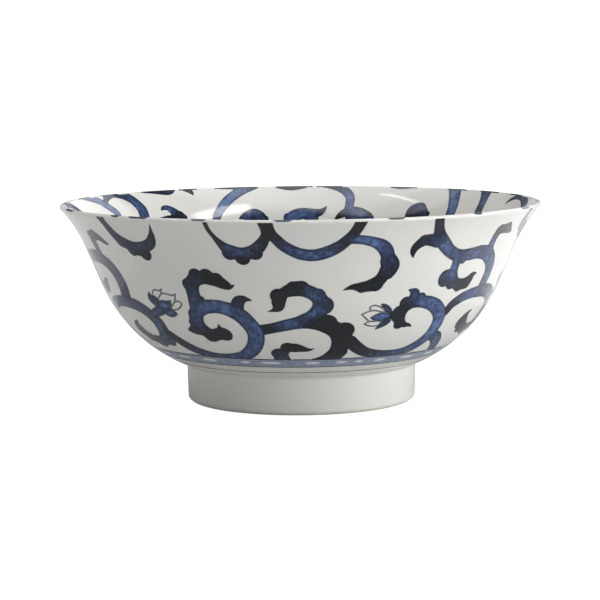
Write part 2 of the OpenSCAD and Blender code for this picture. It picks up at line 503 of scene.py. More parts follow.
class Brush:
    """Strokes of a round brush that run together. A stroke is a list of (u, v, half width, tone)."""

    filled = True

    def __init__(self, *strokes):
        curves = [smooth(stroke) for stroke in strokes]
        self.links = [link for curve in curves for link in zip(curve[:-1], curve[1:])]
        self.links += [(curve[0], curve[0]) for curve in curves if len(curve) == 1]
        every = np.vstack(curves)
        self.middle = every[:, :2]
        self.reach = every[:, 2].max()

    def measure(self, u, v, breadth):
        """How far (u, v) is outside the strokes, and the tone there."""
        distance = np.full(u.shape, FAR)
        weight = np.full(u.shape, FAINTEST)
        total = np.zeros(u.shape)
        wide = breadth(v)
        for start, end in self.links:
            scale = (wide + breadth((start[1] + end[1]) / 2)) / 2
            along, away = beside(u, v, start, end, scale)[4:]
            reach = away - start[2] - along * (end[2] - start[2])
            distance = np.minimum(distance, reach)
            share = np.exp(-reach / BLEND)
            weight += share
            total += share * (start[3] + along * (end[3] - start[3]))
        return distance, total / weight


class Petal:
    """A closed outline with its corner at the first point, filled with one tone, or left white."""

    def __init__(self, points, tone):
        self.middle = smooth(np.vstack([points, points[:1]]))
        self.reach = BULGE
        self.filled = tone is not None
        self.tone = tone or 0

    def measure(self, u, v, breadth):
        distance = np.full(u.shape, FAR)
        within = np.zeros(u.shape, bool)
        scale = breadth(self.middle[:, 1].mean())
        for start, end in zip(self.middle[:-1], self.middle[1:]):
            x, y, dx, dy, _, away = beside(u, v, start, end, scale)
            distance = np.minimum(distance, away)
            crosses = (start[1] > v) != (end[1] > v)
            within ^= crosses & (x * dy * np.sign(dy) < y * dx * np.sign(dy))
        return np.where(within, -distance, distance), np.full(u.shape, float(self.tone))


class Canvas:
    """A painted zone: a grid of (u, v) on which layers of paint lie one over another. place(u, v, d) is
    the point d above it, and breadth(v) is how many millimetres one unit of u spans."""

    def __init__(self, place, breadth, u_low, u_step, columns, v, outer=True):
        self.place, self.breadth, self.outer = place, breadth, outer
        self.closed = abs(u_step * columns - 360) < TOUCHING
        self.u_low, self.u_step, self.columns, self.v = u_low, u_step, columns, v
        self.line = self.layer(FAR)
        self.depth = self.layer(-FAR)
        self.tone = self.layer(0)
        self.fields = {}
        self.edges = {}
        self.spans = {}

    def layer(self, value):
        return np.full((self.columns, len(self.v)), float(value))

    def reached(self, shape):
        """The first and last column near a shape, the cells there, and its distance and tone in them."""
        (u_first, v_first), (u_last, v_last) = shape.middle.min(0), shape.middle.max(0)
        reach = shape.reach + MARGIN
        spread = reach / self.breadth(v_first)
        low = math.floor((u_first - spread - self.u_low) / self.u_step)
        high = math.ceil((u_last + spread - self.u_low) / self.u_step)
        rows = np.where(np.abs(self.v - np.clip(self.v, v_first, v_last)) < reach)[0]
        if not self.closed:
            low, high = max(low, 0), min(high, self.columns - 1)
        columns = np.arange(low, high + 1)
        u, v = np.meshgrid(self.u_low + columns * self.u_step, self.v[rows], indexing="ij")
        distance, tone = shape.measure(u, v, self.breadth)
        return low, high, np.ix_(columns % self.columns, rows), distance, tone

    def paint(self, name, shape):
        """Lays a shape over what is there, in the film of that name."""
        low, high, cells, distance, tone = self.reached(shape)
        depth = self.depth[cells]
        within = distance < 0
        nearer = within | ((depth < 0) & (-distance > depth))
        self.line[cells] = np.where(within, -distance, np.minimum(self.line[cells], distance))
        self.depth[cells] = np.maximum(depth, -distance) if shape.filled else np.minimum(depth, distance)
        self.tone[cells] = np.where(nearer, tone, self.tone[cells])
        for other, field in self.fields.items():
            if other != name:
                field[cells] = np.maximum(field[cells], EDGE - distance)
        own = self.fields.setdefault(name, self.layer(FAR))
        own[cells] = np.minimum(own[cells], distance - EDGE)
        edge = self.edges.setdefault(name, self.layer(-FAR))
        edge[cells] = np.maximum(edge[cells], -distance)
        before = self.spans.get(name, (low, high))
        self.spans[name] = (min(low, before[0]), max(high, before[1]))

    def spare(self, shape):
        """Leaves this shape white."""
        cells, distance = self.reached(shape)[2:4]
        self.depth[cells] = np.minimum(self.depth[cells], distance)

    def fill(self, name, tone):
        """One film over the whole zone."""
        self.fields[name] = self.layer(-1)
        self.depth[:], self.tone[:] = FAR, tone
        self.spans[name] = (0, self.columns)

    def cut(self, field, low, high):
        """Faces that cover the cells where the field is below zero, cut along its edge. A point is the
        number of a corner of the grid, plus as many corners as there are if it is where the edge crosses
        the side that runs from there along u, or twice as many for the side along v."""
        rows = len(self.v)
        count = self.columns * rows
        column = np.arange(low, high + 1) % self.columns
        corner = column[:, None] * rows + np.arange(rows)
        within = field[column] < 0
        near, far = slice(None, -1), slice(1, None)
        corners = [(near, near), (far, near), (far, far), (near, far)]
        ids = np.stack([corner[cells] for cells in corners], -1)
        holds = np.stack([within[cells] for cells in corners], -1)
        crossings = [corner[corners[k]] + kind * count for k, kind in ((0, 1), (1, 2), (3, 1), (0, 2))]
        sides = np.stack(crossings, -1)
        whole = holds.all(-1)
        faces = ids[whole].tolist()
        for cell in zip(*np.where(holds.any(-1) & ~whole)):
            face = []
            for k in range(4):
                if holds[cell][k]:
                    face.append(int(ids[cell][k]))
                if holds[cell][k] != holds[cell][(k + 1) % 4]:
                    face.append(int(sides[cell][k]))
            faces.append(face)
        return faces

    def film(self, name, nodes, material=SCROLL, slot="cobalt_scroll"):
        """The film as a closed thin solid."""
        low, high = self.spans[name]
        high = min(high, low + self.columns) if self.closed else high
        field = self.fields[name]
        field[np.abs(field) < NUDGE] = -NUDGE
        faces = self.cut(field, low, high)
        used = np.unique(np.concatenate(faces))
        rows = len(self.v)
        kind, index = used // field.size, used % field.size
        c, r = index // rows, index % rows
        c_next = np.where(kind == 1, (c + 1) % self.columns, c)
        r_next = np.where(kind == 2, r + 1, r)
        here, there = field[c, r], field[c_next, r_next]
        t = np.where(kind > 0, here / np.where(here == there, 1, here - there), 0)

        def between(values):
            return values[c, r] * (1 - t) + values[c_next, r_next] * t

        c_here = low + (c - low) % self.columns
        u = self.u_low + (c_here + np.where(kind == 1, t, 0)) * self.u_step
        v = self.v[r] * (1 - t) + self.v[r_next] * t
        # Canvases with different numbers of films show different slices of the noise
        noise_slice = np.full(len(u), len(self.fields) * 3.0)
        line = self.edges[name] if self.closed and name in self.edges else self.line + NIB
        fields = {"line": between(line), "depth": between(self.depth), "tone": between(self.tone)}
        fields["place"] = np.stack([u * DEGREE_MM, v, noise_slice], -1)
        order = dict(zip(used.tolist(), range(len(used))))
        faces = [[order[i] for i in face] for face in faces]
        if not self.outer:
            faces = [face[::-1] for face in faces]
        rim = {}
        for face in faces:
            for a, b in zip(face, face[1:] + face[:1]):
                if rim.pop((b, a), None) is None:
                    rim[(a, b)] = True
        n = len(used)
        solid = faces + [[i + n for i in face[::-1]] for face in faces]
        solid += [[b, a, a + n, b + n] for a, b in rim]
        points = np.vstack([self.place(u, v, LIFT), self.place(u, v, -SINK)])
        fields = {key: np.concatenate([values, values]) for key, values in fields.items()}
        piece(name, points, solid, material, nodes, fields)


# ---------------------------------------------------------------- the outside scrolls

band_low, band_high, line_w = 65.1, 71.8, 0.5
scroll_top = s_lip - 0.2
outer_top = s_lip + 0.7
SCROLL_ROW = 0.5


def outer_place(u, v, d):
    return around(u, outside(v, d))


def inner_place(u, v, d):
    return around(u, inside(v, d))


def outer_breadth(v):
    return outside(v).real * math.pi / 180


def inner_breadth(v):
    return inside(np.minimum(v, s_lip)).real * math.pi / 180


def round_canvas(place, breadth, u_low, v, outer=True, columns=1000):
    """A canvas that goes all the way round the bowl."""
    return Canvas(place, breadth, u_low, 360 / columns, columns, v, outer)


def moved(stroke, turn, rise, along=1.0, base=0.0, up=1.0, thick=1.0):
    """A stroke or outline turned round the bowl and moved up, scaled first about azimuth 0, s = base."""
    made = np.atleast_2d(np.array(stroke, float))
    made[:, 0] = made[:, 0] * along + turn
    made[:, 1] = base + (made[:, 1] - base) * up + rise
    if made.shape[1] == 4:
        made[:, 2] *= thick
    return made


def brushed(strokes, *move, **scale):
    return Brush(*[moved(stroke, *move, **scale) for stroke in strokes])


# Every stroke is a list of (azimuth, s, half width, tone). A bare place is a lobe of a stroke's edge.
STEM = [
    [(-87.1, 138.4, 2.1, 0.8), (-86, 133.4, 2.3, 0.8), (-84.7, 128.9, 2.9, 0.6), (-82.2, 124.6, 3, 0.2),
     (-79.3, 120.8, 2.7, 0.25), (-75.8, 118.5, 2.8, 0.5), (-71.5, 118.6, 2.9, 0.3), (-67.5, 119.1, 3.1, 0.35),
     (-63.7, 117.8, 3.4, 0.35), (-60.4, 114.2, 3.6, 0.3), (-58.9, 110, 3.6, 0.25), (-59, 105.2, 3.6, 0.3),
     (-59.6, 101, 3.4, 0.35)],
    [(-84.4, 125.8, 2.6, 0.4), (-86.4, 127, 2.7, 0.6), (-88.3, 127.4, 2.8, 0.7), (-90, 125.4, 2.3, 0.8),
     (-90.9, 122.6, 1.6, 0.9), (-90.6, 119.4, 0.3, 0.9)],
    (-89.1, 127.9, 2.2, 0.7),
    [(-75.8, 117.7, 2.5, 0.3), (-76, 113.7, 2.4, 0.2), (-76, 109.8, 2.8, 0.3), (-73.9, 105.6, 2.5, 0.6),
     (-70.8, 104.7, 2.7, 0.8), (-68.5, 105.7, 2.7, 0.9), (-67.2, 108.3, 1.5, 1), (-65.4, 109, 0.15, 1)],
    (-78.2, 108.4, 4, 0.5), (-75.4, 105.8, 2.9, 0.7), (-72, 104.4, 3, 0.8), (-68.8, 105.1, 2.9, 0.9),
    (-73.6, 116.2, 1.8, 0.4),
    [(-63, 119.7, 2.6, 0.3), (-63.3, 124, 2.5, 0.3), (-62.9, 128, 2.8, 0.7), (-61.2, 129.4, 2.6, 0.8),
     (-58.7, 129.3, 2.5, 0.8), (-56.9, 127.9, 1.4, 0.8), (-54.9, 127.1, 0.15, 0.8)],
    (-63, 129, 2.9, 0.7), (-59.4, 129.7, 2.9, 0.8),
]
# On the front sheet the stem was laid on a little wider and higher
FRONT_STEM = [
    [(-87.1, 137.7, 2.2, 0.8), (-86, 133.2, 2.4, 0.8), (-84.8, 129.2, 2.8, 0.6), (-82.4, 124.8, 2.5, 0.3),
     (-79.3, 121.4, 2.5, 0.3), (-75.8, 119.6, 2.6, 0.4), (-71.5, 119.7, 2.8, 0.3), (-67.5, 120, 3.1, 0.4),
     (-63.2, 119, 3.3, 0.45), (-59.3, 115.6, 3.8, 0.5), (-57.3, 110.5, 4.1, 0.5), (-57.2, 105.2, 4.1, 0.55),
     (-58, 101.5, 3.6, 0.5)],
    [(-76.8, 117.7, 2.5, 0.3), (-77, 113.7, 2.4, 0.2), (-77, 109.8, 2.8, 0.3), (-74.9, 105.6, 2.5, 0.6),
     (-71.8, 104.9, 2.7, 0.8), (-69.5, 105.9, 2.7, 0.9), (-68.2, 108.3, 1.5, 1), (-66.3, 109.2, 0.15, 1)],
    (-79.2, 108.4, 4, 0.5), (-73, 104.4, 3, 0.8), (-69.8, 105.3, 2.9, 0.9),
    [(-63.5, 120, 2.8, 0.5), (-63.8, 124.5, 2.7, 0.5), (-63.5, 128.8, 2.7, 0.6), (-61.6, 131, 2.6, 0.7),
     (-59.2, 130.6, 2.1, 0.8), (-57.2, 128.5, 1.4, 0.8), (-55.3, 127.1, 0.3, 0.8)],
    (-63.4, 130, 3, 0.6), (-60.6, 131.3, 2.8, 0.7),
]
RING = [
    [(-73.4, 91.7, 2.4, 0.9), (-71.7, 95.5, 2.5, 0.6), (-68.2, 98.1, 2.6, 0.3), (-64, 99.4, 2.6, 0.3),
     (-59, 99.7, 2.9, 0.4), (-55, 99.3, 3.1, 0.45), (-51.6, 97.8, 3.3, 0.4), (-48.7, 95, 3.5, 0.4),
     (-46.8, 90.5, 3.9, 0.4), (-47.3, 85, 3.5, 0.45), (-49.4, 81, 3, 0.5), (-53, 79.2, 2.9, 0.5),
     (-56.6, 80.4, 2.7, 0.6), (-59.4, 83, 3.1, 0.7), (-60.9, 86, 2.8, 0.8), (-60.2, 88.8, 1.3, 0.9),
     (-58.5, 90.5, 0.15, 0.9)],
    (-47.6, 80.8, 3.7, 0.5), (-53.2, 79.1, 3.7, 0.6), (-59, 81.2, 3.3, 0.7), (-60.9, 84.6, 4, 0.7),
]
RIGHT_RING = [
    [(14.8, 84.4, 2.6, 0.9), (17.7, 79.7, 2.9, 0.8), (21.4, 76, 2.8, 0.7), (26.6, 73.7, 2.9, 0.5),
     (32, 73, 3, 0.4), (37, 74.2, 3.2, 0.35), (41.2, 78, 3.3, 0.3), (43.8, 83.5, 3.4, 0.15),
     (44.4, 89.5, 3.5, 0.1), (43.2, 95, 3.3, 0.15), (40.2, 99.4, 3.2, 0.2), (36.4, 101.8, 2.9, 0.2),
     (32.5, 102.3, 2.7, 0.5), (29.7, 100.4, 2.8, 0.85), (28.6, 96.9, 2.8, 0.95), (29.2, 93, 2.4, 1),
     (31.2, 91.2, 1.4, 1), (32.9, 90.8, 0.8, 1), (34.1, 89.7, 0.15, 1)],
    (29.3, 91.7, 2.5, 1), (27.8, 98.4, 2.7, 0.5), (27.7, 95.6, 2.4, 0.5), (29.4, 102.3, 2.9, 0.7),
    (34, 104.2, 2.3, 0.3),
    [(31.5, 103.5, 2.4, 0.4), (31.6, 106.2, 2.3, 0.35), (30.6, 107.7, 1.1, 0.35), (29.3, 108.2, 0.15, 0.4)],
    [(45, 83, 2.9, 0.35), (48, 81.6, 2.9, 0.35), (50.6, 78, 2.8, 0.3), (52.2, 74, 2.8, 0.3),
     (53.2, 70.5, 2.6, 0.3)],
]
HOOKED_ARM = [
    [(-8.9, 100.2, 0.15, 1), (-7.4, 100.7, 0.8, 1), (-6, 102.4, 2.2, 1), (-5.8, 105.3, 2.9, 1),
     (-4.6, 108.4, 2.4, 0.95), (-2.5, 110, 2.9, 0.9), (0.8, 109.9, 2.9, 0.4), (3.8, 107.6, 3, 0.3),
     (5.3, 104.3, 3.4, 0.4), (5, 100.6, 3.6, 0.35), (3, 97.8, 3, 0.3), (0, 96.4, 2, 0.3)],
    (-5.9, 107.4, 3.3, 1),
    [(-1.9, 110.8, 3.2, 0.95), (0.1, 110.9, 3.3, 0.8)],
    (4.3, 107.3, 3.4, 0.6), (5.9, 102.7, 4.3, 0.65),
    [(-12.2, 90.4, 2.8, 0.9), (-8.4, 91.6, 2.6, 0.7), (-4.4, 93.2, 2.8, 0.25), (-0.5, 94.6, 3.1, 0.35),
     (3.3, 94.8, 3.6, 0.85), (7, 93, 3.8, 1), (10.3, 89.9, 4, 1), (12.2, 85.6, 4.4, 1), (12.2, 80.5, 3.9, 1),
     (11.6, 76.6, 4, 1), (10.4, 73.6, 4.2, 1), (8.5, 71.4, 3.8, 1), (5, 70.2, 2.6, 1)],
    (7.3, 94.2, 4.1, 1), (12.3, 89.7, 4.6, 1), (13, 84, 3.9, 1), (12.1, 76.6, 3.8, 0.95),
]
LOW_LEAF = [
    [(-6.1, 70, 3.6, 0.5), (-6.7, 73.6, 3.2, 0.5), (-6.4, 76.4, 2.6, 0.6), (-5.2, 78.6, 2.2, 0.8),
     (-3.8, 80.1, 2.5, 1), (-2.4, 80.3, 2.8, 1), (-0.8, 79.9, 2.3, 1), (1, 79.2, 1.6, 1), (2.6, 78.9, 0.8, 1),
     (4.1, 79.8, 0.15, 1)],
    (-7, 76.3, 3.6, 0.6), (-4.2, 80.5, 3, 1),
]
LEFT_RING = [
    [(-44.7, 85, 2.6, 0.95), (-40.2, 78.5, 3.1, 0.7), (-35.6, 74.5, 3.1, 0.5), (-30, 72.3, 2.9, 0.4),
     (-24, 72.3, 3.1, 0.35), (-18.7, 74.7, 3.2, 0.3), (-15, 80.3, 3.3, 0.2), (-13.4, 87, 3.5, 0.2),
     (-14.4, 93, 3.6, 0.25), (-17.4, 98.6, 3.6, 0.3), (-22, 101.6, 3.2, 0.15), (-26.5, 101.4, 3.2, 0.2),
     (-29.7, 98.8, 3.3, 0.35), (-30.9, 94, 3.4, 0.45), (-29.9, 89.4, 3.5, 0.7), (-27, 87, 3.2, 0.95),
     (-24, 87.9, 3.4, 1), (-23.3, 87.5, 3.6, 1)],
    (-28, 86.2, 3.5, 0.95), (-31.6, 92.8, 3.2, 0.5), (-30.9, 97.2, 3, 0.4),
    [(-32, 89.4, 3.2, 0.6), (-34, 88.9, 1.6, 0.9), (-35.4, 89, 0.15, 0.9)],
    [(-24, 91, 1, 1), (-24.2, 93.1, 0.1, 1)],
    [(-29.6, 100, 3.2, 0.35), (-29.4, 105.8, 3.1, 0.5), (-29.4, 110, 3.2, 0.6), (-28.2, 113.6, 3.2, 0.6),
     (-25.5, 115, 3, 0.85), (-22.3, 114.2, 3, 1), (-19.8, 112.2, 2.3, 1), (-18.4, 111.2, 1.1, 1),
     (-17.1, 112.1, 0.15, 1)],
    (-27.2, 105, 1.3, 0.4), (-30.2, 111.5, 2.9, 0.6), (-27.4, 115.8, 3.2, 0.7), (-24.3, 116, 3.1, 0.9),
    (-21.7, 114.5, 2.9, 1),
    [(-17.3, 101, 2.7, 0.5), (-16.8, 104.2, 2.6, 0.7), (-15.3, 105.7, 1.6, 0.8), (-13, 105.2, 0.15, 0.8)],
    (-16.4, 104.7, 2.4, 0.8),
]
LEFT_CRESCENT = [
    [(-51.3, 144, 2.8, 0.7), (-51.2, 141, 2.5, 0.7), (-51, 138, 2.3, 0.6), (-50.4, 134, 2.7, 0.5),
     (-48.9, 130.4, 3.1, 0.6), (-46, 128, 2.9, 0.6), (-43.5, 127.2, 2.8, 0.5), (-40.6, 128, 2.6, 0.6),
     (-38.3, 129.9, 2.4, 0.6), (-37, 132.9, 1.75, 0.8), (-36.2, 136.4, 0.8, 0.9), (-35.5, 140.3, 0.1, 0.9)],
    (-48.9, 129.8, 3.1, 0.6), (-45.6, 126.3, 3.3, 0.75), (-43.6, 126.3, 3.1, 0.8), (-41.4, 124.6, 3.2, 0.85),
]
MIDDLE_CRESCENT = [
    [(-21, 144, 0.9, 0.9), (-20.8, 138.5, 1, 0.9), (-19.9, 134.5, 1.1, 0.8), (-18.7, 131.1, 1.8, 0.7),
     (-17.3, 128.6, 2.6, 0.4), (-14, 126.6, 2.8, 0.35), (-11, 127.9, 2.9, 0.5), (-8.9, 131.6, 2.5, 0.85),
     (-7.9, 135.5, 1.8, 0.95), (-7.7, 139, 2, 0.95), (-8, 144, 2.7, 0.95)],
    (-17, 126.7, 3.2, 0.8), (-14, 124.4, 3.1, 1), (-10.8, 126.9, 3.2, 0.95),
]
GARLAND = [
    [(-7.4, 144, 2.6, 0.95), (-6.9, 138, 2.4, 0.95), (-5.8, 134.4, 2.4, 0.85), (-3.7, 130.1, 2.5, 0.4),
     (-0.5, 126.8, 2.6, 0.25), (2.7, 125.8, 2.7, 0.3), (6, 127, 2.8, 0.3), (9.2, 130.1, 2.7, 0.5),
     (11.4, 134.5, 2.4, 0.85), (12.6, 138.5, 2.4, 0.9), (13.4, 144, 2.6, 0.95)],
    [(11.5, 133, 2.1, 0.3), (14.3, 132.8, 2.2, 0.15), (17.3, 131.4, 2.4, 0.15), (19.6, 129.2, 2.9, 0.25),
     (21.1, 125.8, 3, 0.4), (21.9, 120.5, 3, 0.55), (20.8, 114.6, 2.8, 0.85), (18.6, 111.7, 2.9, 0.95),
     (15.8, 110.8, 2.2, 0.95), (13.2, 110.9, 1.2, 1), (10.9, 109.6, 0.15, 1)],
    [(21.8, 122.4, 3.6, 0.5), (22.6, 119.8, 4, 0.6), (22, 117.3, 3.7, 0.7)],
    (19.4, 111.8, 3.3, 0.95), (15.8, 110.6, 2.5, 0.95),
]
# In the order in which they were laid down
OUTER_MOTIFS = {
    "stem": STEM, "ring": RING, "right_ring": RIGHT_RING, "hooked_arm": HOOKED_ARM, "low_leaf": LOW_LEAF,
    "left_ring": LEFT_RING, "left_crescent": LEFT_CRESCENT, "middle_crescent": MIDDLE_CRESCENT,
    "garland": GARLAND,
}
# Each printed sheet: how far it is turned round the bowl, and how much higher it lies
SHEETS = {"front": (0, 0), "right": (119, 3.8), "back": (-121, 1.5)}

# The lotus buds: (outline from its tip, tone), back to front, where no tone leaves the petal white
LEFT_BUD_STEM = [(-48, 94.8, 1.6, 0.4), (-46.2, 95.9, 1.8, 0.4), (-44, 97.4, 2.1, 0.35),
                 (-42, 98.8, 2.2, 0.3)]
LEFT_BUD = [
    ([(-39.8, 108.4), (-41, 107.5), (-42.2, 107.9), (-43.3, 107.1), (-43.9, 105), (-42.6, 103),
      (-41.6, 104.4), (-40.5, 106.2)], None),
    ([(-35.4, 106.6), (-36.4, 105.9), (-38, 106.2), (-39.2, 106.5), (-40.3, 106.2), (-41.3, 105),
      (-42.2, 103.2), (-40.5, 101), (-38.2, 100), (-36.9, 101.9), (-36, 104)], None),
    ([(-34, 102.3), (-35, 103.3), (-36.2, 102.9), (-37.2, 101.6), (-38.2, 100), (-37.8, 98.9), (-36.2, 99.3),
      (-34.9, 100.5)], None),
    ([(-45.3, 106.2), (-45.9, 104.4), (-45.9, 102.5), (-44.9, 100.8), (-43.9, 99.6), (-42.2, 100.4),
      (-42.1, 102.6), (-43.2, 104.6), (-44.5, 104.9)], 0.4),
    ([(-37.7, 103.3), (-39.5, 102.8), (-41, 102.9), (-42.3, 102.2), (-42.8, 100.2), (-41, 98.4),
      (-38.9, 98.6), (-38.2, 100.8)], 0.25),
    ([(-36.9, 97.1), (-37.7, 98.3), (-38.8, 99), (-40.8, 98.6), (-41.6, 97), (-40.8, 95.7), (-39.5, 95.2),
      (-38, 95.8)], 0.25),
]
RIGHT_BUD_STEM = [(28, 96.8, 1.8, 0.7), (26.8, 96.8, 1.6, 0.8), (25.3, 96.8, 1.9, 0.95)]
RIGHT_BUD = [
    ([(18.7, 100.9), (19.3, 101.8), (20.3, 102), (21.6, 101.3), (22.6, 100.3), (23.6, 98.8), (22, 98.6),
      (20.3, 99.5), (19.2, 99.9)], None),
    ([(18.1, 92.9), (18.9, 93.9), (20.2, 94.3), (22.4, 94.5), (23.2, 93.4), (22.6, 92), (20.9, 91.6),
      (19.3, 92.1)], None),
    ([(16.8, 97.9), (17.8, 98.7), (19, 99.4), (20.3, 99.6), (21.7, 99.1), (23.4, 98.2), (24.6, 96.5),
      (23, 94.6), (20.6, 94.2), (19.3, 94.4), (18.3, 95.7)], None),
    ([(22, 102.4), (23.3, 102.1), (24.6, 100.8), (25.7, 98.6), (25, 97.6), (23.8, 98.8),
      (22.7, 100.8)], 0.35),
    ([(22, 89.9), (23.5, 90.8), (25.1, 92.1), (26, 94), (25, 95.2), (23.6, 94.2), (22.6, 92.2)], 0.45),
    ([(19.7, 96), (20.7, 97.2), (22, 98), (23.5, 98.2), (24.9, 97.6), (25.5, 96.4), (24.8, 95), (23.2, 94.2),
      (21.6, 94.4), (20.4, 95.2)], 0.12),
]
BUDS = {"left_bud": (RING, LEFT_BUD_STEM, LEFT_BUD), "right_bud": (RIGHT_RING, RIGHT_BUD_STEM, RIGHT_BUD)}
BUD_STEP = 0.1         # degrees
BUD_ROW = 0.17
BUD_MARGIN = 1.5
BUD_LIFT = 0.02        # how far a bud's film stands above the scroll's


def paint_bud(name, node, turn, rise, scroll, stem, petals):
    """A bud on a fine canvas of its own, over the scroll that it grows from."""
    every = moved(np.vstack([outline for outline, _ in petals] + [np.array(stem)[:, :2]]), turn, rise)
    low, high = every.min(0) - BUD_MARGIN, every.max(0) + BUD_MARGIN
    columns = math.ceil((high[0] - low[0]) / BUD_STEP)
    rows = run(low[1], high[1], BUD_ROW)

    def place(u, v, d):
        return outer_place(u, v, d + BUD_LIFT)

    canvas = Canvas(place, outer_breadth, low[0], BUD_STEP, columns, rows)
    canvas.paint("scroll", brushed(scroll, turn, rise))
    canvas.paint(name, brushed([stem], turn, rise))
    for outline, tone in petals:
        canvas.paint(name, Petal(moved(outline, turn, rise), tone))
    canvas.film(name, [node])


def paint_outside():
    canvas = round_canvas(outer_place, outer_breadth, -180, run(band_high, outer_top, SCROLL_ROW))
    for motif, strokes in OUTER_MOTIFS.items():
        for sheet, (turn, rise) in SHEETS.items():
            drawn = FRONT_STEM if (sheet, motif) == ("front", "stem") else strokes
            canvas.paint(f"{sheet}_{motif}", brushed(drawn, turn, rise))
    for name in canvas.fields:
        sheet = name.split("_")[0]
        canvas.film(name, ["outer_scroll_" + sheet])
    for sheet, (turn, rise) in SHEETS.items():
        for bud, drawing in BUDS.items():
            paint_bud(f"{sheet}_{bud}", "outer_scroll_" + sheet, turn, rise, *drawing)


paint_outside()

# ---------------------------------------------------------------- the waist band and the painted lines

# Pale marks in the band: (azimuth, half their length in degrees)
BAND_MARKS = [(-49, 2), (-35.5, 3), (-20.5, 1.5), (-11, 3.5), (4, 2.5), (14.5, 1.8), (21, 1.3), (29.5, 2.3),
              (43, 2)]
MARK_HALF_W = 1.1
MARK_TAPER = 0.7
MARK_RISE = 0.4        # above the band's middle


def paint_band():
    v = run(band_low + line_w, band_high - line_w, 0.35)
    canvas = round_canvas(outer_place, outer_breadth, -180, v)
    canvas.fill("waist_band_wash", 0.5)
    middle = (band_low + band_high) / 2 + MARK_RISE
    for turn in np.arange(4) * 90:
        for azimuth, half in BAND_MARKS:
            mark = [
                (azimuth + turn + k * half, middle, MARK_HALF_W - MARK_TAPER * abs(k), 0)
                for k in (-1, -0.4, 0.4, 1)
            ]
            canvas.spare(Brush(mark))
    canvas.film("waist_band_wash", ["waist_band"], BAND, "cobalt_wash")


def painted_line(name, place, low, high, node, tone=0.5):
    """A thin line all the way round, a closed ring just proud of the glaze."""
    section = np.concatenate([place([low, high], LIFT), place([low, high], -SINK)[::-1]])
    if place is inside:
        section = section[::-1]

    def fields(points):
        azimuth = np.degrees(np.arctan2(points[:, 0], -points[:, 1]))
        even = np.ones(len(points))
        spots = np.stack([azimuth * DEGREE_MM, points[:, 2], even * low], -1)
        return {"depth": even * FAR, "line": even * FAR, "tone": even * tone, "place": spots}

    turned(name, section, LINE, [node], fields)


paint_band()
for name, low, high, node, tone in (
    ("waist_band_top_edge", band_high - line_w, band_high + 0.3, "band_top_line", 1),
    ("waist_band_bottom_edge", band_low - 0.2, band_low + line_w, "band_bottom_line", 0.9),
    ("foot_line_stroke", 58.9, 59.6, "foot_line", 1),
):
    painted_line(name, outside, low, high, node, tone)

# ---------------------------------------------------------------- the inside

